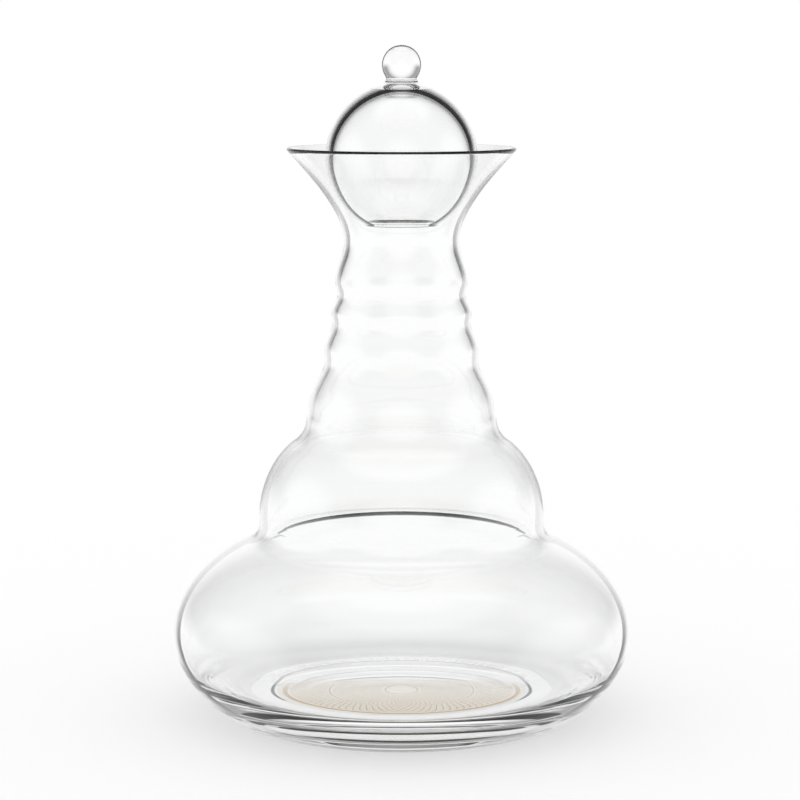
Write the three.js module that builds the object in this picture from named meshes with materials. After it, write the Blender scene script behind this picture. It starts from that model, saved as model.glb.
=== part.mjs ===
// Stoppered water carafe in clear blown glass. Millimetres, +Z up, standing on Z = 0.
// Every piece is round about Z, so each is one closed outline of radius against height,
// turned by a lathe. Outlines run with the glass on their left.

import * as THREE from 'three';

// Facets round a full turn
const turnFacets = 36;

// Belly: a wide, flattened bulb that narrows to the foot
const bellyRadius = 86.4;
const bellyHeight = 31.4;
const footRadius = 64;
const heelBlend = 6;
const bellyCrownRadius = 25;
const bellyCrownRise = 41.5;

// Bell: the second bulge, standing on the belly behind a soft crease
const bellRadius = 53.7;
const creaseBlend = 5.2;
const bellSkirt = 7.9;
const bellCrownRadius = 25;
const bellRise = 33.2;

// Neck: three ribs that tighten upwards, a beaded collar, a waist and a trumpet mouth
const shoulderUpright = 5.8;
const shoulderBlend = 6.5;
const grooveRadii = [35.9, 28.9, 26, 23.9];
const lowestRibPitch = 20.1;
const ribPitchRatio = 0.75;
const ribSwell = 1.2;
const collarRadius = 24.9;
const collarRise = 5.4;
const waistRadius = 21.4;
const waistRise = 14.9;
const mouthRadius = 42.5;
const mouthRise = 33.7;
const waistPull = 11;
const mouthPull = 11.3;
const mouthSpread = 42;

// Wall of the vessel, station by station
const bellyWall = 2.9;
const bellWall = 3.2;
const neckWall = 2.4;
const seatWall = 3;
const seatRise = 15;
const lipWall = 1.4;

// Base: a thick level floor over a shallow recess inside the foot ring
const footRingWidth = 13.6;
const puntHeight = 1.2;
const puntSlope = 2;
const floorThickness = 8.5;
const floorReach = 5.6;
const floorSweep = 16;
const heelFall = 15;

// Print fired under the base
const printMargin = 0.8;
const printThickness = 0.3;
const printGap = 0.3;

// Stopper: a hollow ball, open below, that sits in the mouth and carries a bead as its knob
const ballRadius = 28.3;
const ballWall = 3;
const ballMouthAngle = 30;
const seatClearance = 0.3;
const crownWall = 2.1;
const crownMargin = 0.3;
const knobGap = 0.3;
const knobFootRadius = 12;
const knobFootEdge = 0.4;
const knobFootRise = 3.1;
const knobNeckInset = 1.65;
const knobNeckRise = 0.3;
const beadRadius = 7.45;

const { lerp, degToRad } = THREE.MathUtils;

const clearGlass = new THREE.MeshStandardMaterial({
  color: 0xf4f7f6,
  roughness: 0.03,
  metalness: 0,
  transparent: true,
  opacity: 0.35,
});

const firedGold = new THREE.MeshStandardMaterial({
  color: 0xe6d3a8,
  roughness: 0.45,
  metalness: 0.3,
});

function point(radius, height) {
  return new THREE.Vector2(radius, height);
}

// Height, above the centre, of an ellipse at a given radius from that centre
function ellipseRise(reach, halfWidth, halfHeight) {
  return halfHeight * Math.sqrt(1 - (reach / halfWidth) ** 2);
}

function ellipseAngle(reach, halfWidth) {
  return Math.acos(reach / halfWidth);
}

function ellipseRun(centre, halfWidth, halfHeight, fromAngle, toAngle, steps) {
  const clockwise = toAngle < fromAngle;
  const curve = new THREE.EllipseCurve(
    centre.x, centre.y, halfWidth, halfHeight, fromAngle, toAngle, clockwise);
  return curve.getPoints(steps);
}

// A run that is upright at both ends
function swell(from, to, steps) {
  const run = [];
  for (let i = 0; i <= steps; i += 1) {
    const t = i / steps;
    const eased = (1 - Math.cos(Math.PI * t)) / 2;
    run.push(point(lerp(from.x, to.x, eased), lerp(from.y, to.y, t)));
  }
  return run;
}

// A run that is level at both ends
function ramp(from, to, steps) {
  const run = [];
  for (let i = 0; i <= steps; i += 1) {
    const t = i / steps;
    const eased = (1 - Math.cos(Math.PI * t)) / 2;
    run.push(point(lerp(from.x, to.x, t), lerp(from.y, to.y, eased)));
  }
  return run;
}

// One rib between two grooves, bulging out midway
function rib(from, to, bulge, steps) {
  const run = [];
  for (let i = 0; i <= steps; i += 1) {
    const t = i / steps;
    const out = bulge * (1 - Math.cos(2 * Math.PI * t)) / 2;
    run.push(point(lerp(from.x, to.x, t) + out, lerp(from.y, to.y, t)));
  }
  return run;
}

// Joins runs that meet end to end, keeping each shared point once
function chain(...runs) {
  return runs.flatMap((run, i) => (i === 0 ? run : run.slice(1)));
}

// Drops the first part of a run, up to a length from its start
function trimStart(run, length) {
  const start = run[0];
  const kept = run.findIndex((p) => p.distanceTo(start) > length);
  const inside = run[kept - 1];
  const outside = run[kept];
  const t = (length - inside.distanceTo(start)) / outside.distanceTo(inside);
  return [inside.clone().lerp(outside, t), ...run.slice(kept)];
}

function trimEnd(run, length) {
  return trimStart([...run].reverse(), length).reverse();
}

// Rounds the corner where one run ends and the next begins
function roundCorner(before, after, length, steps) {
  const corner = after[0];
  const first = trimEnd(before, length);
  const second = trimStart(after, length);
  const bend = new THREE.QuadraticBezierCurve(first.at(-1), corner, second[0]);
  return chain(first, bend.getPoints(steps), second);
}

// Half circle from one side of a wall to the other, round its free edge
function roundEdge(from, to, steps) {
  const centre = from.clone().lerp(to, 0.5);
  const start = Math.atan2(from.y - centre.y, from.x - centre.x);
  const radius = from.distanceTo(centre);
  return ellipseRun(centre, radius, radius, start, start + Math.PI, steps);
}

// The same run moved to its left by a wall that varies with height
function offsetLeft(run, wallAt) {
  return run.map((p, i) => {
    const previous = run[Math.max(i - 1, 0)];
    const next = run[Math.min(i + 1, run.length - 1)];
    const along = next.clone().sub(previous).normalize();
    const wall = wallAt(p.y);
    return point(p.x - along.y * wall, p.y + along.x * wall);
  });
}

// Levels of the vessel, stacked from the table up
const creaseHeight = bellyHeight
  + ellipseRise(bellRadius - bellyCrownRadius, bellyRadius - bellyCrownRadius, bellyCrownRise);
const bellHeight = creaseHeight + bellSkirt;
const bellTop = bellHeight
  + ellipseRise(grooveRadii[0] - bellCrownRadius, bellRadius - bellCrownRadius, bellRise);
const ribPitches = grooveRadii.slice(1).map((_, i) => lowestRibPitch * ribPitchRatio ** i);
const grooveHeights = ribPitches.reduce(
  (heights, pitch) => [...heights, heights.at(-1) + pitch], [bellTop + shoulderUpright]);
const collarHeight = grooveHeights.at(-1) + collarRise;
const waistHeight = collarHeight + waistRise;
const mouthHeight = waistHeight + mouthRise;

// Rings of the base, from the foot inwards
const ringRadius = footRadius - footRingWidth;
const puntRadius = ringRadius - puntSlope;
const printRadius = puntRadius - printMargin;
const floorRadius = ringRadius + floorReach;
const floorHeight = puntHeight + floorThickness;

function bellyRun() {
  const drop = bellyHeight / ellipseRise(footRadius, bellyRadius, 1);
  const footAngle = -ellipseAngle(footRadius, bellyRadius);
  const lower = ellipseRun(point(0, bellyHeight), bellyRadius, drop, footAngle, 0, 7);
  const width = bellyRadius - bellyCrownRadius;
  const creaseAngle = ellipseAngle(bellRadius - bellyCrownRadius, width);
  const upper = ellipseRun(
    point(bellyCrownRadius, bellyHeight), width, bellyCrownRise, 0, creaseAngle, 7);
  return chain(lower, upper);
}

function bellRun() {
  const skirt = [point(bellRadius, creaseHeight), point(bellRadius, bellHeight)];
  const width = bellRadius - bellCrownRadius;
  const topAngle = ellipseAngle(grooveRadii[0] - bellCrownRadius, width);
  const dome = ellipseRun(point(bellCrownRadius, bellHeight), width, bellRise, 0, topAngle, 7);
  return chain(skirt, dome);
}

function neckRun() {
  const grooves = grooveRadii.map((radius, i) => point(radius, grooveHeights[i]));
  const upright = [point(grooveRadii[0], bellTop), grooves[0]];
  const ribs = ribPitches.map((_, i) => rib(grooves[i], grooves[i + 1], ribSwell, 6));
  const collar = point(collarRadius, collarHeight);
  const waist = point(waistRadius, waistHeight);
  const mouth = point(mouthRadius, mouthHeight);
  const spread = degToRad(mouthSpread);
  const flare = new THREE.CubicBezierCurve(
    waist,
    point(waistRadius, waistHeight + waistPull),
    point(mouthRadius - mouthPull * Math.sin(spread), mouthHeight - mouthPull * Math.cos(spread)),
    mouth);
  return chain(
    upright, ...ribs, swell(grooves.at(-1), collar, 3), swell(collar, waist, 5), flare.getPoints(9));
}

const wallStations = [
  [bellyHeight, bellyWall],
  [bellHeight, bellWall],
  [grooveHeights[0], neckWall],
  [waistHeight, neckWall],
  [waistHeight + seatRise, seatWall],
  [mouthHeight, lipWall],
];

function vesselWall(height) {
  const above = wallStations.findIndex(([level]) => level >= height);
  if (above <= 0) {
    return above === 0 ? bellyWall : lipWall;
  }
  const [lowLevel, lowWall] = wallStations[above - 1];
  const [highLevel, highWall] = wallStations[above];
  const t = (height - lowLevel) / (highLevel - lowLevel);
  return lerp(lowWall, highWall, (1 - Math.cos(Math.PI * t)) / 2);
}

// Underside and outside of the vessel, from the axis up to the lip
function vesselOutside() {
  const underside = ramp(point(puntRadius, puntHeight), point(ringRadius, 0), 4);
  const ring = [point(ringRadius, 0), point(footRadius, 0)];
  const heeled = roundCorner(ring, bellyRun(), heelBlend, 3);
  const creased = roundCorner(heeled, bellRun(), creaseBlend, 3);
  const shouldered = roundCorner(creased, neckRun(), shoulderBlend, 3);
  return chain([point(0, puntHeight), ...underside], shouldered);
}

// Inside of the vessel, from the middle of its floor up to the lip
function vesselInside(outside) {
  const widest = outside.findIndex((p) => p.x === Math.max(...outside.map((q) => q.x)));
  const walls = offsetLeft(outside, vesselWall).slice(widest);
  const [belly] = walls;
  const heel = new THREE.CubicBezierCurve(
    point(floorRadius, floorHeight), point(floorRadius + floorSweep, floorHeight),
    point(belly.x, belly.y - heelFall), belly);
  return chain([point(0, floorHeight), ...heel.getPoints(9)], walls);
}

const outside = vesselOutside();
const inside = vesselInside(outside);
const vesselOutline = chain(outside, roundEdge(outside.at(-1), inside.at(-1), 5), [...inside].reverse());

// The ball drops until its skin is one clearance from the inside of the mouth
const reach = ballRadius + seatClearance;
const ballHeight = Math.max(...inside
  .filter((p) => p.y > waistHeight && p.x < reach)
  .map((p) => p.y + ellipseRise(p.x, reach, reach)));

// Level, above the ball's centre, of the flat that its crown ends in
const crownRadius = knobFootRadius + crownMargin;
const crownRise = ellipseRise(crownRadius, ballRadius, ballRadius);

function ballOutline() {
  const centre = point(0, ballHeight);
  const hollowRadius = ballRadius - ballWall;
  const hollowRise = crownRise - crownWall;
  const mouthTurn = degToRad(ballMouthAngle - 90);
  const hollow = ellipseRun(
    centre, hollowRadius, hollowRadius, Math.asin(hollowRise / hollowRadius), mouthTurn, 13);
  const skin = ellipseRun(
    centre, ballRadius, ballRadius, mouthTurn, ellipseAngle(crownRadius, ballRadius), 15);
  const shell = chain(hollow, roundEdge(hollow.at(-1), skin[0], 6), skin);
  return [point(0, ballHeight + hollowRise), ...shell, point(0, ballHeight + crownRise)];
}

function knobOutline() {
  const seat = ballHeight + crownRise + knobGap;
  const neckRadius = beadRadius - knobNeckInset;
  const footTop = point(knobFootRadius, seat + knobFootEdge);
  const neckFoot = point(neckRadius, footTop.y + knobFootRise);
  const fillet = new THREE.QuadraticBezierCurve(footTop, point(neckRadius, footTop.y), neckFoot);
  const beadAngle = -ellipseAngle(neckRadius, beadRadius);
  const beadHeight = neckFoot.y + knobNeckRise - beadRadius * Math.sin(beadAngle);
  const bead = ellipseRun(point(0, beadHeight), beadRadius, beadRadius, beadAngle, Math.PI / 2, 9);
  return [point(0, seat), point(knobFootRadius, seat), ...fillet.getPoints(4), ...bead];
}

function printOutline() {
  const top = puntHeight - printGap;
  const bottom = top - printThickness;
  return [point(0, bottom), point(printRadius, bottom), point(printRadius, top), point(0, top)];
}

function turned(name, outline, material) {
  const geometry = new THREE.LatheGeometry(outline, turnFacets);
  geometry.rotateX(Math.PI / 2);
  const mesh = new THREE.Mesh(geometry, material);
  mesh.name = name;
  return mesh;
}

const carafe = new THREE.Group();
carafe.add(turned('carafe_body', vesselOutline, clearGlass));
carafe.add(turned('base_print', printOutline(), firedGold));

const stopper = new THREE.Group();
stopper.add(turned('stopper_ball', ballOutline(), clearGlass.clone()));
stopper.add(turned('stopper_knob', knobOutline(), clearGlass.clone()));
carafe.add(stopper);

export default carafe;
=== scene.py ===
"""Looks of a stoppered water carafe in clear blown glass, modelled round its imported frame.

Every piece is round about the upright axis. Each outline is worked out as radius against
height, in metres, and spun once round that axis.
"""

import math

import bmesh
import bpy
from mathutils import Matrix, Vector, geometry


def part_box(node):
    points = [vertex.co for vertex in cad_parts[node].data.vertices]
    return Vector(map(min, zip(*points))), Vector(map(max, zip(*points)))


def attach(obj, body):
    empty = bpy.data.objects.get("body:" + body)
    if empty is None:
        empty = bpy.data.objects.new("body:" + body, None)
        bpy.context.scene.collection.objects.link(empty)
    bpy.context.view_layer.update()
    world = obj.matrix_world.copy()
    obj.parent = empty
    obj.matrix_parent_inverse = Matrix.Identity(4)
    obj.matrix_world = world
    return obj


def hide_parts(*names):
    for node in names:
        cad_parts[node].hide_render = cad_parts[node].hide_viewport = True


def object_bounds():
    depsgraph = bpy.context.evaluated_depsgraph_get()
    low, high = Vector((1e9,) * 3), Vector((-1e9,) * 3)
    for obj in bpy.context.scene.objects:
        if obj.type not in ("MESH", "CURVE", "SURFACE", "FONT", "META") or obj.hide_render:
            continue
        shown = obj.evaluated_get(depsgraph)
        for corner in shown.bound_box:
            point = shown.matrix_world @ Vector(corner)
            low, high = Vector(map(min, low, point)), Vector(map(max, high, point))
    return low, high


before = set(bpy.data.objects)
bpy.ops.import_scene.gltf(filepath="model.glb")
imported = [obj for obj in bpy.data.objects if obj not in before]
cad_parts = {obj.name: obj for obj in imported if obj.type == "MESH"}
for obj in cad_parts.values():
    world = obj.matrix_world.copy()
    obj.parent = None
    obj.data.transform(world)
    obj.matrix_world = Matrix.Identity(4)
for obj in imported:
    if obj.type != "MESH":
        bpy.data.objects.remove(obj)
cad_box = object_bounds()

bl_info = {
    "name": "Stoppered water carafe",
    "version": (1, 0, 0),
    "blender": (4, 5, 0),
    "location": "View3D > Sidebar > Carafe",
    "description": "Models a blown-glass carafe, its ball stopper and the print under its base",
    "category": "Add Mesh",
}

BODY_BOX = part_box("carafe_body")
PRINT_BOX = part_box("base_print")
KNOB_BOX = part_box("stopper_knob")

TURN_STEPS = 192
WELD_DISTANCE = 1e-6

# Mesh layers that carry a wall's painted dark line (painted shade in the glass colour), and the slant
# beside its own at which it is full
PAINTED_EDGE_LAYERS = ("painted_edge_slant", "painted_edge_depth")
PAINTED_EDGE_ONSET = 0.95

# Soft waves of the blown glass, stretched along the axis
WAVE_SCALE = 22.0
WAVE_STRETCH = (1, 1, 0.35)
WAVE_HEIGHT = 0.001

# Pulls of the knob's fillet at the ball and at the neck, beside its height
FILLET_PULLS = (1.2, 0.6)

# Bands and rings of the print: inner and outer radius, or radius and half width in metres,
# with radii as shares of the print's own
PRINT_BANDS = ((0.60, 0.90), (0.16, 0.56))
PRINT_RINGS = ((0.94, 0.0009), (0.58, 0.0003), (0.13, 0.0003))
THREAD_HALF_WIDTH = 0.08


def length(name, description, default):
    """A length in metres that a user may change."""
    return bpy.props.FloatProperty(
        name=name, description=description, default=default, min=0.0, precision=4,
        subtype="DISTANCE", unit="LENGTH")


def share(name, description, default):
    """A share from nothing to all."""
    return bpy.props.FloatProperty(
        name=name, description=description, default=default, min=0.0, max=1.0, subtype="FACTOR")


def angle(name, description, degrees):
    """An angle, kept in radians."""
    return bpy.props.FloatProperty(
        name=name, description=description, default=math.radians(degrees),
        subtype="ANGLE", unit="ROTATION")


def colour(name, description, default):
    """A linear colour."""
    return bpy.props.FloatVectorProperty(
        name=name, description=description, default=default, size=3, min=0.0, max=1.0,
        subtype="COLOR")


class VesselSizes(bpy.types.PropertyGroup):
    """Outside and wall of the vessel."""

    belly_radius: length("Belly radius", "Widest half breadth", BODY_BOX[1].x)
    belly_height: length("Belly height", "Level of the widest ring", 0.0314)
    foot_radius: length("Foot radius", "Where the belly would meet the table", 0.064)
    heel_blend: length("Heel blend", "Rounding between foot and belly", 0.006)
    belly_crown_radius: length("Belly crown radius", "Centre of the upper belly's curve", 0.025)
    belly_crown_rise: length("Belly crown rise", "Height of the upper belly's curve", 0.0415)
    bell_radius: length("Bell radius", "Half breadth of the bulge on the belly", 0.0537)
    crease_blend: length("Crease blend", "Rounding between belly and bell", 0.0052)
    bell_skirt: length("Bell skirt", "Upright stretch above the crease", 0.0079)
    bell_crown_radius: length("Bell crown radius", "Centre of the bell's curve", 0.025)
    bell_rise: length("Bell rise", "Height of the bell's curve", 0.0332)
    shoulder_upright: length("Shoulder upright", "Upright stretch above the bell", 0.0058)
    shoulder_blend: length("Shoulder blend", "Rounding between bell and neck", 0.0065)
    groove_radii: bpy.props.FloatVectorProperty(
        name="Groove radii", description="Half breadths at the grooves between the ribs",
        size=4, default=(0.0359, 0.0289, 0.026, 0.0239), unit="LENGTH", precision=4)
    rib_pitch: length("Rib pitch", "Height of the lowest rib", 0.0201)
    rib_ratio: share("Rib ratio", "Height of each rib beside the one below it", 0.75)
    rib_swell: length("Rib swell", "How far a rib bulges", 0.0012)
    collar_radius: length("Collar radius", "Half breadth of the bead above the ribs", 0.0249)
    collar_rise: length("Collar rise", "From the last groove to the collar", 0.0054)
    waist_radius: length("Waist radius", "Narrowest half breadth", 0.0214)
    waist_rise: length("Waist rise", "From the collar to the waist", 0.0149)
    mouth_radius: length("Mouth radius", "Half breadth at the lip", 0.0425)
    mouth_rise: length("Mouth rise", "From the waist to the lip", 0.0337)
    waist_pull: length("Waist pull", "How far the flare stays upright at the waist", 0.011)
    mouth_pull: length("Mouth pull", "How far the flare stays straight at the lip", 0.0113)
    mouth_spread: angle("Mouth spread", "Lean of the flare at the lip", 42)
    belly_wall: length("Belly wall", "Glass at the widest ring", 0.0029)
    bell_wall: length("Bell wall", "Glass at the bell", 0.0032)
    neck_wall: length("Neck wall", "Glass from the ribs to the waist", 0.0024)
    lip_wall: length("Lip wall", "Glass at the lip", 0.0014)
    ring_width: length("Foot ring width", "Breadth of the foot ring", 0.0136)
    punt_height: length("Punt height", "Rise of the underside inside the ring", 0.0012)
    punt_slope: length("Punt slope", "Breadth of the slope inside the ring", 0.002)
    floor_thickness: length("Floor thickness", "Glass over the punt", 0.0085)
    floor_reach: length("Floor reach", "How far the level floor passes the ring's inner edge", 0.0056)
    floor_sweep: length("Floor sweep", "How far the inside leaves the floor level", 0.016)
    heel_fall: length("Heel fall", "How far the inside falls upright from the belly", 0.015)


class StopperSizes(bpy.types.PropertyGroup):
    """The hollow ball and the bead that is its knob."""

    ball_radius: length("Ball radius", "Outside of the ball", 0.0283)
    ball_wall: length("Ball wall", "Glass of the ball", 0.0030)
    mouth_angle: angle("Mouth angle", "Half opening of the ball, seen from its centre", 30)
    hollow_drop: length("Hollow drop", "How far the hollow lies below the ball's centre", 0.0014)
    crown_wall: length("Crown wall", "Glass under the knob", 0.0021)
    crown_blend: length("Crown blend", "Rounding of the hollow under the knob", 0.003)
    foot_radius: length("Knob foot radius", "Where the knob flows into the ball", KNOB_BOX[1].x)
    foot_rise: length("Knob foot rise", "Height of the fillet above the ball", 0.0035)
    neck_inset: length("Knob neck inset", "How far the neck lies inside the bead", 0.00165)
    neck_rise: length("Knob neck rise", "Upright stretch under the bead", 0.0003)
    bead_radius: length("Bead radius", "Half breadth of the knob", 0.00745)


class PrintLook(bpy.types.PropertyGroup):
    """The print fired under the base."""

    edge_blend: length("Edge blend", "Rounding of the print's edge", 0.0001)
    ground: colour("Ground", "Cream ground of the print", (1.0, 0.93, 0.8))
    line: colour("Line", "Gold of the fine lines", (0.55, 0.33, 0.11))
    # Painted glow: the print emits light in its own colour, though it is no lamp
    painted_glow: share("Table light", "Light of the pale table that shines through it", 0.3)
    band_waves: bpy.props.IntProperty(
        name="Band waves", description="Waves round the outer band", default=12, min=3)
    band_lines: bpy.props.IntProperty(
        name="Band lines", description="Lines that share one wave", default=7, min=1)


class GlassFinish(bpy.types.PropertyGroup):
    """The clear glass of every blown piece."""

    tint: colour("Tint", "Colour that light takes in the glass", (0.994, 0.997, 0.996))
    bend: bpy.props.FloatProperty(
        name="Refraction", description="Index of refraction", default=1.5, min=1.0, max=2.0)
    wave: share("Wave", "Strength of the soft waves left by blowing", 0.006)
    # Painted shade: how dark the glass colour is painted along each wall's edge-on line, and at which
    # slant it fades
    painted_edge_shade: share("Line shade", "Light that passes where a wall is seen edge on", 0.0003)
    painted_edge_core: share("Line core", "Slant, beside the line's own, at which it begins to fade", 0.8)
    painted_edge_end: share("Line end", "Slant, beside the line's own, at which it has faded", 0.3)
    bead_painted_edge: length("Bead line", "How far inside the knob's outline its dark line lies", 0.0006)


class StageLook(bpy.types.PropertyGroup):
    """Floor, surroundings and camera."""

    floor_radius: length("Floor radius", "Half breadth of the pale floor", 0.5)
    floor_colour: colour("Floor colour", "Pale floor", (1.0, 1.0, 1.0))
    floor_glow: share("Floor glow", "How far the floor's own shade gives way to white", 0.5)
    dark_shade: share("Dark shade", "Brightness of the dark surround", 0.28)
    panel_reach: angle("Panel reach", "Where a white panel begins to darken", 17)
    dark_reach: angle("Dark reach", "Where the surround is darkest", 40)
    table_low: angle("Table low", "Below this everything is white", -6)
    table_edge: angle("Table edge", "Above this the surround is dark", 8)
    sky_edge: angle("Sky edge", "Where the surround begins to pale", 52)
    sky_high: angle("Sky high", "Above this everything is white", 68)
    crossings: bpy.props.IntProperty(
        name="Crossings", description="Surfaces that light may cross", default=24, min=1)
    mirrorings: bpy.props.IntProperty(
        name="Mirrorings", description="Times that light may be mirrored in the glass",
        default=7, min=1)
    lens: bpy.props.FloatProperty(
        name="Lens", description="Focal length in millimetres", default=116.514, min=1.0)
    distance: length("Distance", "From the camera to the axis, along the floor", 0.965)
    eye_height: length("Eye height", "Camera above the floor", 0.252)
    aside: length("Aside", "How far the camera stands left of the axis", 0.00056)
    pitch: angle("Pitch", "How far the camera looks down", 7.821)


def at(radius, height):
    return Vector((radius, height))


def ease(t):
    return (1 - math.cos(math.pi * t)) / 2


def mixed(start, end, t):
    return start + (end - start) * t


def steps_of(count):
    """Even steps from 0 to 1, both ends included."""
    return [i / count for i in range(count + 1)]


def stepped(stations, height):
    """A value between stations of height, eased from each to the next."""
    for (low, low_value), (high, high_value) in zip(stations, stations[1:]):
        if low <= height < high:
            return mixed(low_value, high_value, ease((height - low) / (high - low)))
    return stations[0][1] if height < stations[0][0] else stations[-1][1]


def ellipse_rise(reach, half_width, half_height):
    """Height of an ellipse above its centre, at a distance from its middle."""
    return half_height * math.sqrt(1 - (reach / half_width) ** 2)


def arc(centre, half_width, half_height, start, end, count):
    """Points along an ellipse, from one angle to another."""
    turns = [mixed(start, end, t) for t in steps_of(count)]
    return [centre + at(half_width * math.cos(a), half_height * math.sin(a)) for a in turns]


def swell(start, end, count):
    """A run that is upright at both ends."""
    return [at(mixed(start.x, end.x, ease(t)), mixed(start.y, end.y, t)) for t in steps_of(count)]


def ramp(start, end, count):
    """A run that is level at both ends."""
    return [at(mixed(start.x, end.x, t), mixed(start.y, end.y, ease(t))) for t in steps_of(count)]


def straight(start, end, count):
    return [start.lerp(end, t) for t in steps_of(count)]


def rib(start, end, bulge, count):
    """One rib between two grooves, bulging out midway."""
    return [start.lerp(end, t) + at(bulge * ease(2 * t), 0) for t in steps_of(count)]


def curve(start, first_pull, second_pull, end, count):
    return geometry.interpolate_bezier(start, first_pull, second_pull, end, count + 1)


def chain(*runs):
    """Runs that meet end to end, each shared point kept once."""
    joined = list(runs[0])
    for run in runs[1:]:
        joined += run[1:]
    return joined


def trim_start(run, distance):
    """A run without the stretch within a distance of its start."""
    start = run[0]
    kept = next(i for i, p in enumerate(run) if (p - start).length > distance)
    inside, outside = run[kept - 1], run[kept]
    t = (distance - (inside - start).length) / (outside - inside).length
    return [inside.lerp(outside, t)] + run[kept:]


def trim_end(run, distance):
    return trim_start(run[::-1], distance)[::-1]


def round_corner(before, after, distance, count):
    """Two runs joined by a soft bend in place of the corner between them."""
    corner = after[0]
    first, second = trim_end(before, distance), trim_start(after, distance)
    pulls = [end.lerp(corner, 2 / 3) for end in (first[-1], second[0])]
    return chain(first, curve(first[-1], pulls[0], pulls[1], second[0], count), second)


def round_edge(start, end, count):
    """Half a circle from one side of a wall to the other, round its free edge."""
    centre = start.lerp(end, 0.5)
    first = math.atan2(start.y - centre.y, start.x - centre.x)
    radius = (start - centre).length
    return arc(centre, radius, radius, first, first + math.pi, count)


def offset_left(run, wall_at):
    """The run moved to its left by a wall that varies with height."""
    moved = []
    for i, p in enumerate(run):
        along = (run[min(i + 1, len(run) - 1)] - run[max(i - 1, 0)]).normalized()
        moved.append(p + at(-along.y, along.x) * wall_at(p.y))
    return moved


def vessel_levels(s):
    """Heights of the vessel's rings, stacked from the table up."""
    crease = s.belly_height + ellipse_rise(
        s.bell_radius - s.belly_crown_radius, s.belly_radius - s.belly_crown_radius,
        s.belly_crown_rise)
    bell = crease + s.bell_skirt
    bell_top = bell + ellipse_rise(
        s.groove_radii[0] - s.bell_crown_radius, s.bell_radius - s.bell_crown_radius, s.bell_rise)
    grooves = [bell_top + s.shoulder_upright]
    for i in range(len(s.groove_radii) - 1):
        grooves.append(grooves[-1] + s.rib_pitch * s.rib_ratio ** i)
    collar = grooves[-1] + s.collar_rise
    waist = collar + s.waist_rise
    return {
        "crease": crease, "bell": bell, "bell_top": bell_top, "grooves": grooves,
        "collar": collar, "waist": waist, "mouth": waist + s.mouth_rise}


def belly_run(s):
    drop = s.belly_height / ellipse_rise(s.foot_radius, s.belly_radius, 1)
    foot_angle = -math.acos(s.foot_radius / s.belly_radius)
    lower = arc(at(0, s.belly_height), s.belly_radius, drop, foot_angle, 0, 26)
    width = s.belly_radius - s.belly_crown_radius
    crease_angle = math.acos((s.bell_radius - s.belly_crown_radius) / width)
    upper = arc(
        at(s.belly_crown_radius, s.belly_height), width, s.belly_crown_rise, 0, crease_angle, 26)
    return chain(lower, upper)


def bell_run(s, levels):
    skirt = straight(at(s.bell_radius, levels["crease"]), at(s.bell_radius, levels["bell"]), 3)
    width = s.bell_radius - s.bell_crown_radius
    top_angle = math.acos((s.groove_radii[0] - s.bell_crown_radius) / width)
    dome = arc(at(s.bell_crown_radius, levels["bell"]), width, s.bell_rise, 0, top_angle, 22)
    return chain(skirt, dome)


def neck_run(s, levels):
    grooves = [at(r, h) for r, h in zip(s.groove_radii, levels["grooves"])]
    upright = [at(s.groove_radii[0], levels["bell_top"]), grooves[0]]
    ribs = [rib(low, high, s.rib_swell, 14) for low, high in zip(grooves, grooves[1:])]
    collar = at(s.collar_radius, levels["collar"])
    waist = at(s.waist_radius, levels["waist"])
    mouth = at(s.mouth_radius, levels["mouth"])
    lean = at(math.sin(s.mouth_spread), math.cos(s.mouth_spread))
    flare = curve(waist, waist + at(0, s.waist_pull), mouth - lean * s.mouth_pull, mouth, 26)
    return chain(upright, *ribs, swell(grooves[-1], collar, 6), swell(collar, waist, 10), flare)


def vessel_wall(s, levels):
    """The wall's thickness as a function of height."""
    stations = [
        (s.belly_height, s.belly_wall), (levels["bell"], s.bell_wall),
        (levels["grooves"][0], s.neck_wall), (levels["waist"], s.neck_wall),
        (levels["mouth"], s.lip_wall)]

    return lambda height: stepped(stations, height)


def vessel_outline(s):
    """From the axis under the base, up the outside, over the lip and down to the floor inside."""
    levels = vessel_levels(s)
    ring_radius = s.foot_radius - s.ring_width
    punt_radius = ring_radius - s.punt_slope
    underside = [at(0, s.punt_height)] + ramp(at(punt_radius, s.punt_height), at(ring_radius, 0), 8)
    ring = [at(ring_radius, 0), at(s.foot_radius, 0)]
    heeled = round_corner(ring, belly_run(s), s.heel_blend, 8)
    creased = round_corner(heeled, bell_run(s, levels), s.crease_blend, 8)
    shouldered = round_corner(creased, neck_run(s, levels), s.shoulder_blend, 8)
    outside = chain(underside, shouldered)

    widest = max(range(len(outside)), key=lambda i: outside[i].x)
    walls = offset_left(outside, vessel_wall(s, levels))[widest:]
    floor_edge = at(ring_radius + s.floor_reach, s.punt_height + s.floor_thickness)
    heel = curve(
        floor_edge, floor_edge + at(s.floor_sweep, 0), walls[0] - at(0, s.heel_fall), walls[0], 26)
    floor = [at(0, floor_edge.y), floor_edge]
    inside = chain(floor, heel, walls)
    return chain(outside, round_edge(outside[-1], inside[-1], 10), inside[::-1])


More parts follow.
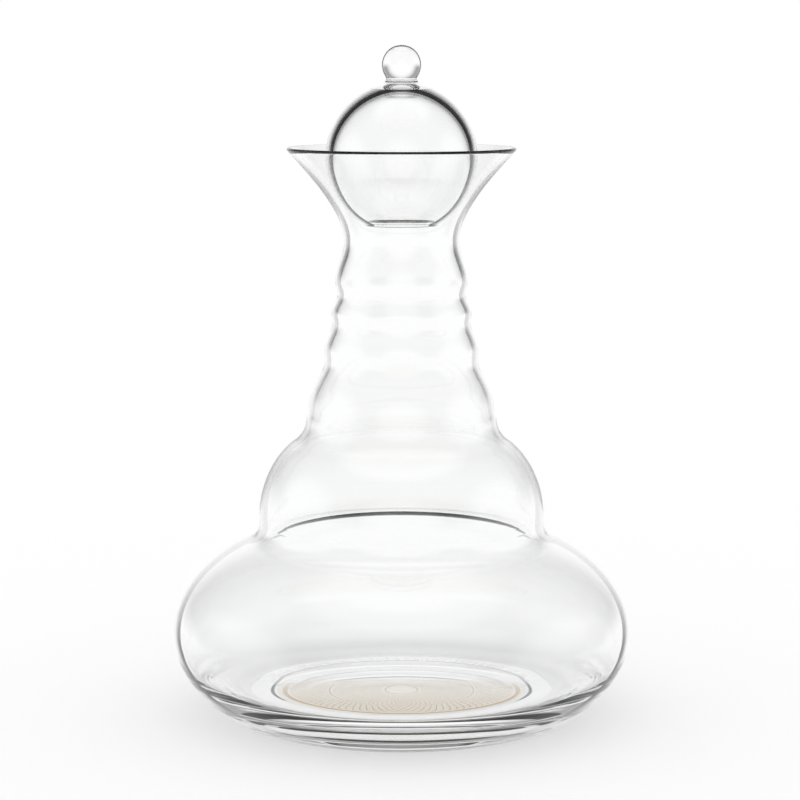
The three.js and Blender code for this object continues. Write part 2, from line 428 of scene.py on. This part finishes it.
def stopper_outline(s):
    """From the axis inside the hollow crown, out of the opening and up over the knob."""
    crown_turn = math.acos(s.foot_radius / s.ball_radius)
    crown_rise = s.ball_radius * math.sin(crown_turn)
    centre = at(0, KNOB_BOX[0].z - crown_rise)
    hollow_radius = s.ball_radius - s.ball_wall
    hollow_centre = centre - at(0, s.hollow_drop)
    hollow_rise = crown_rise - s.crown_wall + s.hollow_drop
    ceiling_radius = math.sqrt(hollow_radius ** 2 - hollow_rise ** 2)
    ceiling = [at(0, hollow_centre.y + hollow_rise),
               at(ceiling_radius, hollow_centre.y + hollow_rise)]
    mouth_turn = s.mouth_angle - math.pi / 2
    hollow = arc(
        hollow_centre, hollow_radius, hollow_radius, math.asin(hollow_rise / hollow_radius),
        mouth_turn, 48)
    skin = arc(centre, s.ball_radius, s.ball_radius, mouth_turn, crown_turn, 56)
    vault = round_corner(ceiling, hollow, s.crown_blend, 8)
    lip = round_edge(hollow[-1], skin[0], 14)

    neck_radius = s.bead_radius - s.neck_inset
    neck_foot = at(neck_radius, skin[-1].y + s.foot_rise)
    lean = (skin[-1] - skin[-2]).normalized()
    fillet = curve(
        skin[-1], skin[-1] + lean * s.foot_rise * FILLET_PULLS[0],
        neck_foot - at(0, s.foot_rise * FILLET_PULLS[1]), neck_foot, 14)
    bead_angle = -math.acos(neck_radius / s.bead_radius)
    bead_height = neck_foot.y + s.neck_rise - s.bead_radius * math.sin(bead_angle)
    bead = arc(at(0, bead_height), s.bead_radius, s.bead_radius, bead_angle, math.pi / 2, 28)
    return chain(vault, lip, skin, fillet) + bead


def painted_wall_edges(outline, wall_at, depth_at):
    """Slant and depth, point by point, of the painted dark line (painted shade) where a wall is seen
    edge on.

    The far side of a wall shows at one cosine between the eye and the outside: the one that
    lies a wall's breadth inside the round outline. Points inside a hollow have no line.
    """
    lines = []
    for before, p, after in zip(outline[:1] + outline, outline, outline[1:] + outline[-1:]):
        along = (after - before).normalized()
        inset = wall_at(p) * along.y / p.x if along.y > 0 and p.x > 0 else 0
        lines.append((math.sqrt(1 - (1 - min(inset, 1)) ** 2), depth_at(p)))
    return lines


def vessel_painted_edges(s, outline):
    """Painted dark edge lines of the vessel (painted shade): darkest round the heel, faint from the
    bell to the ribs.
    """
    levels = vessel_levels(s)
    top = max(range(len(outline)), key=lambda i: outline[i].y)
    inside = outline[top:]
    depths = [
        (0, 0), (s.heel_blend, 0.25), (s.belly_height / 2, 1), (s.belly_height, 1),
        (levels["crease"], 0.35),
        (levels["grooves"][0], 0.35), (levels["collar"], 0.6), (levels["waist"], 0.8),
        (levels["mouth"], 0.2)]
    return painted_wall_edges(
        outline, lambda p: min((p - q).length for q in inside),
        lambda p: stepped(depths, p.y))


def stopper_painted_edges(s, look, outline):
    """Painted dark edge lines (painted shade) of the hollow ball, from its opening to its crown, and
    of the solid bead.
    """
    crown = KNOB_BOX[0].z
    centre = crown - ellipse_rise(s.foot_radius, s.ball_radius, s.ball_radius)
    opening = centre - s.ball_radius * math.cos(s.mouth_angle)
    walls = [
        (opening, s.ball_wall - s.hollow_drop * math.cos(s.mouth_angle)),
        (centre, s.ball_wall), (crown, s.ball_wall + s.hollow_drop)]
    return painted_wall_edges(
        outline, lambda p: stepped(walls, p.y) if p.y < crown else look.bead_painted_edge,
        lambda p: 1 if opening < p.y < crown or p.y > crown + s.foot_rise else 0)


def print_outline(s):
    """A thin disc, pressed against the underside of the glass."""
    radius, low, high = PRINT_BOX[1].x, PRINT_BOX[0].z, PRINT_BOX[1].z
    return [at(0, low), at(radius - s.edge_blend, low), at(radius, low + s.edge_blend),
            at(radius, high - s.edge_blend), at(radius - s.edge_blend, high), at(0, high)]


def turned(name, outline, lines=()):
    """A smooth object made by spinning an outline once round the upright axis."""
    shape = bmesh.new()
    # Layers that carry the painted dark edge lines (painted shade) of the glass
    layers = [shape.verts.layers.float.new(layer) for layer in PAINTED_EDGE_LAYERS]
    corners = [shape.verts.new((p.x, 0, p.y)) for p in outline]
    for corner, values in zip(corners, lines):
        for layer, value in zip(layers, values):
            corner[layer] = value
    edges = [shape.edges.new(pair) for pair in zip(corners, corners[1:])]
    bmesh.ops.spin(
        shape, geom=corners + edges, cent=(0, 0, 0), axis=(0, 0, 1), angle=2 * math.pi,
        steps=TURN_STEPS, use_merge=True)
    bmesh.ops.remove_doubles(shape, verts=shape.verts, dist=WELD_DISTANCE)
    bmesh.ops.recalc_face_normals(shape, faces=shape.faces)
    for face in shape.faces:
        face.smooth = True
    mesh = bpy.data.meshes.new(name)
    shape.to_mesh(mesh)
    shape.free()
    piece = bpy.data.objects.new(name, mesh)
    bpy.context.scene.collection.objects.link(piece)
    return piece


def finish_piece(piece, material, body, slot, *nodes):
    """Gives a piece its finish and its place in the frame."""
    piece.data.materials.append(material)
    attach(piece, body)
    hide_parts(*nodes)


def new_material(name):
    material = bpy.data.materials.new(name)
    material.use_nodes = True
    material.node_tree.nodes.clear()
    return material


def add(tree, kind, values=(), **settings):
    """A new node. Each value is a plain number or colour, or the output that feeds the socket."""
    made = tree.nodes.new(kind)
    for setting, value in settings.items():
        setattr(made, setting, value)
    for socket, value in dict(values).items():
        if isinstance(value, bpy.types.NodeSocket):
            tree.links.new(value, made.inputs[socket])
        else:
            made.inputs[socket].default_value = value
    return made


def calculate(tree, operation, *values):
    """The result of a Math node."""
    return add(tree, "ShaderNodeMath", enumerate(values), operation=operation).outputs[0]


def ramp_between(tree, value, low, high):
    """0 up to low, 1 from high, and a smooth step between."""
    made = add(
        tree, "ShaderNodeMapRange", {"Value": value, "From Min": low, "From Max": high},
        interpolation_type="SMOOTHSTEP")
    return made.outputs[0]


def opaque(rgb):
    return (*rgb, 1.0)


def clear_glass(name, look):
    """Clear glass with the faint waves that blowing leaves.

    Each wall gets a painted dark line inside the outline: painted shade in the base colour, set by
    the view's slant, that stands in for the dark surroundings seen where a wall is edge on.
    The mesh says at which slant, and how dark it is.
    """
    material = new_material(name)
    tree = material.node_tree
    place = add(tree, "ShaderNodeTexCoord")
    drawn = add(
        tree, "ShaderNodeMapping", {"Vector": place.outputs["Object"], "Scale": WAVE_STRETCH})
    wave = add(
        tree, "ShaderNodeTexNoise", {"Vector": drawn.outputs[0], "Scale": WAVE_SCALE, "Detail": 1.0})
    bump = add(
        tree, "ShaderNodeBump",
        {"Strength": look.wave, "Distance": WAVE_HEIGHT, "Height": wave.outputs[0]})
    slant, depth = (
        add(tree, "ShaderNodeAttribute", attribute_name=layer).outputs["Fac"]
        for layer in PAINTED_EDGE_LAYERS)
    turned_away = add(tree, "ShaderNodeLayerWeight", {"Blend": 0.5}).outputs["Facing"]
    cosine = calculate(tree, "SUBTRACT", 1.0, turned_away)
    beside = calculate(tree, "DIVIDE", cosine, calculate(tree, "MAXIMUM", slant, 0.001))
    line = calculate(
        tree, "MULTIPLY", ramp_between(tree, beside, 1.0, PAINTED_EDGE_ONSET),
        ramp_between(tree, beside, look.painted_edge_end, look.painted_edge_core))
    # Painted shade: the base colour darkens along each wall's edge-on line
    shade = add(
        tree, "ShaderNodeMix",
        {"Factor": calculate(tree, "MULTIPLY", line, depth), 6: opaque(look.tint),
         7: opaque([look.painted_edge_shade] * 3)}, data_type="RGBA")
    shader = add(
        tree, "ShaderNodeBsdfPrincipled",
        {"Base Color": shade.outputs[2], "Roughness": 0.0, "IOR": look.bend,
         "Transmission Weight": 1.0, "Normal": bump.outputs[0]})
    add(tree, "ShaderNodeOutputMaterial", {"Surface": shader.outputs[0]})
    return material


def fired_print(look):
    """Cream enamel with fine gold lines in a woven wave band, glowing with painted light of its own.
    """
    material = new_material("fired_gold")
    tree = material.node_tree
    place = add(tree, "ShaderNodeTexCoord")
    parts = add(tree, "ShaderNodeSeparateXYZ", {0: place.outputs["Object"]})
    across, along = parts.outputs[0], parts.outputs[1]
    radius = calculate(
        tree, "SQRT",
        calculate(tree, "ADD", calculate(tree, "MULTIPLY", across, across),
                  calculate(tree, "MULTIPLY", along, along)))
    bearing = calculate(tree, "ARCTAN2", along, across)

    def wave_band(inner, outer, waves, lines):
        """Crossing waves that fill a ring, as fine lines."""
        middle, reach = (inner + outer) / 2, (outer - inner) / 2
        level = calculate(tree, "DIVIDE", calculate(tree, "SUBTRACT", radius, middle), reach)
        lift = calculate(tree, "ARCSINE", level)
        turn = calculate(tree, "MULTIPLY", bearing, waves)
        found = None
        for side in ("ADD", "SUBTRACT"):
            phase = calculate(tree, side, lift, turn)
            thread = calculate(tree, "MULTIPLY", phase, lines / (2 * math.pi))
            gap = calculate(tree, "PINGPONG", thread, 0.5)
            ink = calculate(tree, "LESS_THAN", gap, THREAD_HALF_WIDTH)
            found = ink if found is None else calculate(tree, "MAXIMUM", found, ink)
        inside = calculate(tree, "LESS_THAN", calculate(tree, "ABSOLUTE", level), 1.0)
        return calculate(tree, "MULTIPLY", found, inside)

    def ring(middle, half_width):
        gap = calculate(tree, "ABSOLUTE", calculate(tree, "SUBTRACT", radius, middle))
        return calculate(tree, "LESS_THAN", gap, half_width)

    edge = PRINT_BOX[1].x
    inks = [
        wave_band(inner * edge, outer * edge, look.band_waves, look.band_lines)
        for inner, outer in PRINT_BANDS]
    inks += [ring(middle * edge, half_width) for middle, half_width in PRINT_RINGS]
    ink = inks[0]
    for more in inks[1:]:
        ink = calculate(tree, "MAXIMUM", ink, more)
    shade = add(
        tree, "ShaderNodeMix",
        {"Factor": ink, 6: opaque(look.ground), 7: opaque(look.line)}, data_type="RGBA")
    # Painted glow: emission in the print's own colour
    shader = add(
        tree, "ShaderNodeBsdfPrincipled",
        {"Base Color": shade.outputs[2], "Roughness": 0.5, "Emission Color": shade.outputs[2],
         "Emission Strength": look.painted_glow})
    add(tree, "ShaderNodeOutputMaterial", {"Surface": shader.outputs[0]})
    return material


def pale_floor(look):
    """A white floor that keeps a soft shadow, as pale to the eye as the surroundings."""
    material = new_material("pale_floor")
    tree = material.node_tree
    matt = add(
        tree, "ShaderNodeBsdfDiffuse", {"Color": opaque(look.floor_colour), "Roughness": 0.0})
    glow = add(tree, "ShaderNodeEmission", {"Color": opaque(look.floor_colour), "Strength": 1.0})
    seen = calculate(tree, "MULTIPLY", seen_rays(tree), look.floor_glow)
    shader = add(
        tree, "ShaderNodeMixShader", {0: seen, 1: matt.outputs[0], 2: glow.outputs[0]})
    add(tree, "ShaderNodeOutputMaterial", {"Surface": shader.outputs[0]})
    return material


def seen_rays(tree):
    """1 on rays that show a surface, 0 on rays that only carry its light."""
    path = add(tree, "ShaderNodeLightPath")
    found = path.outputs["Is Camera Ray"]
    for kind in ("Is Glossy Ray", "Is Transmission Ray"):
        found = calculate(tree, "MAXIMUM", found, path.outputs[kind])
    return found


def white_surroundings(look):
    """White all round, with a dark surround of four white panels that only the glass shows."""
    world = bpy.data.worlds.new("white_surroundings")
    world.use_nodes = True
    tree = world.node_tree
    tree.nodes.clear()
    place = add(tree, "ShaderNodeTexCoord")
    parts = add(tree, "ShaderNodeSeparateXYZ", {0: place.outputs["Generated"]})
    facing = calculate(
        tree, "MAXIMUM", calculate(tree, "ABSOLUTE", parts.outputs[0]),
        calculate(tree, "ABSOLUTE", parts.outputs[1]))
    around = ramp_between(tree, facing, math.cos(look.panel_reach), math.cos(look.dark_reach))
    low = ramp_between(
        tree, parts.outputs[2], math.sin(look.table_low), math.sin(look.table_edge))
    high = ramp_between(
        tree, parts.outputs[2], math.sin(look.sky_high), math.sin(look.sky_edge))
    dark = calculate(tree, "MULTIPLY", around, calculate(tree, "MULTIPLY", low, high))
    path = add(tree, "ShaderNodeLightPath")
    unlit = calculate(tree, "LESS_THAN", path.outputs["Diffuse Depth"], 0.5)
    glassy = calculate(
        tree, "MAXIMUM", path.outputs["Is Transmission Ray"], path.outputs["Is Glossy Ray"])
    through = calculate(tree, "MULTIPLY", glassy, unlit)
    shown = calculate(tree, "MULTIPLY", dark, through)
    shade = add(
        tree, "ShaderNodeMix",
        {"Factor": shown, 6: (1, 1, 1, 1), 7: opaque([look.dark_shade] * 3)}, data_type="RGBA")
    lit = add(tree, "ShaderNodeBackground", {"Color": shade.outputs[2], "Strength": 1.0})
    add(tree, "ShaderNodeOutputWorld", {"Surface": lit.outputs[0]})
    return world


class CARAFE_OT_vessel(bpy.types.Operator):
    """Model the blown vessel"""

    bl_idname = "carafe.vessel"
    bl_label = "Vessel"

    def execute(self, context):
        sizes = context.scene.carafe_vessel
        outline = vessel_outline(sizes)
        piece = turned("carafe_glass", outline, vessel_painted_edges(sizes, outline))
        finish_piece(
            piece, clear_glass("clear_glass", context.scene.carafe_glass), "carafe", "clear_glass",
            "carafe_body")
        return {"FINISHED"}


class CARAFE_OT_print(bpy.types.Operator):
    """Model the print under the base"""

    bl_idname = "carafe.base_print"
    bl_label = "Base print"

    def execute(self, context):
        look = context.scene.carafe_print
        piece = turned("base_rosette", print_outline(look))
        finish_piece(piece, fired_print(look), "carafe", "fired_gold", "base_print")
        return {"FINISHED"}


class CARAFE_OT_stopper(bpy.types.Operator):
    """Model the ball stopper with its bead knob"""

    bl_idname = "carafe.stopper"
    bl_label = "Stopper"

    def execute(self, context):
        sizes, look = context.scene.carafe_stopper, context.scene.carafe_glass
        outline = stopper_outline(sizes)
        piece = turned("stopper_glass", outline, stopper_painted_edges(sizes, look, outline))
        finish_piece(
            piece, clear_glass("stopper_glass", look), "stopper", "stopper_glass",
            "stopper_ball", "stopper_knob")
        return {"FINISHED"}


class CARAFE_OT_stage(bpy.types.Operator):
    """Set the pale floor, the white surroundings and the camera"""

    bl_idname = "carafe.stage"
    bl_label = "Stage"

    def execute(self, context):
        look = context.scene.carafe_stage
        shape = bmesh.new()
        bmesh.ops.create_circle(
            shape, cap_ends=True, segments=96, radius=look.floor_radius,
            matrix=Matrix.Translation((0, 0, cad_box[0].z)))
        mesh = bpy.data.meshes.new("pale_floor")
        shape.to_mesh(mesh)
        shape.free()
        floor = bpy.data.objects.new("pale_floor", mesh)
        floor.data.materials.append(pale_floor(look))
        context.scene.collection.objects.link(floor)

        context.scene.world = white_surroundings(look)
        context.scene.view_settings.view_transform = "Standard"
        context.scene.cycles.max_bounces = look.crossings
        context.scene.cycles.transmission_bounces = look.crossings
        context.scene.cycles.glossy_bounces = look.mirrorings

        eye = bpy.data.cameras.new("camera")
        eye.lens = look.lens
        eye.sensor_width = 36.0
        camera = bpy.data.objects.new("camera", eye)
        camera.location = (-look.aside, -look.distance, look.eye_height)
        camera.rotation_euler = (math.pi / 2 - look.pitch, 0, 0)
        context.scene.collection.objects.link(camera)
        context.scene.camera = camera
        return {"FINISHED"}


class CARAFE_PT_panel(bpy.types.Panel):
    """Lists the carafe's pieces"""

    bl_label = "Carafe"
    bl_idname = "CARAFE_PT_panel"
    bl_space_type = "VIEW_3D"
    bl_region_type = "UI"
    bl_category = "Carafe"

    def draw(self, context):
        for operator in OPERATORS:
            self.layout.operator(operator.bl_idname)
        for name in SETTINGS:
            group = getattr(context.scene, name)
            box = self.layout.box()
            for setting in group.__annotations__:
                box.prop(group, setting)


OPERATORS = (CARAFE_OT_vessel, CARAFE_OT_print, CARAFE_OT_stopper, CARAFE_OT_stage)
SETTINGS = {
    "carafe_vessel": VesselSizes,
    "carafe_stopper": StopperSizes,
    "carafe_print": PrintLook,
    "carafe_glass": GlassFinish,
    "carafe_stage": StageLook,
}


def register():
    for made in (*SETTINGS.values(), *OPERATORS, CARAFE_PT_panel):
        bpy.utils.register_class(made)
    for name, group in SETTINGS.items():
        setattr(bpy.types.Scene, name, bpy.props.PointerProperty(type=group))


def unregister():
    for name in SETTINGS:
        delattr(bpy.types.Scene, name)
    for made in reversed((*SETTINGS.values(), *OPERATORS, CARAFE_PT_panel)):
        bpy.utils.unregister_class(made)


def main():
    register()
    bpy.ops.carafe.vessel()
    bpy.ops.carafe.base_print()
    bpy.ops.carafe.stopper()
    bpy.ops.carafe.stage()


if __name__ == "__main__":
    main()
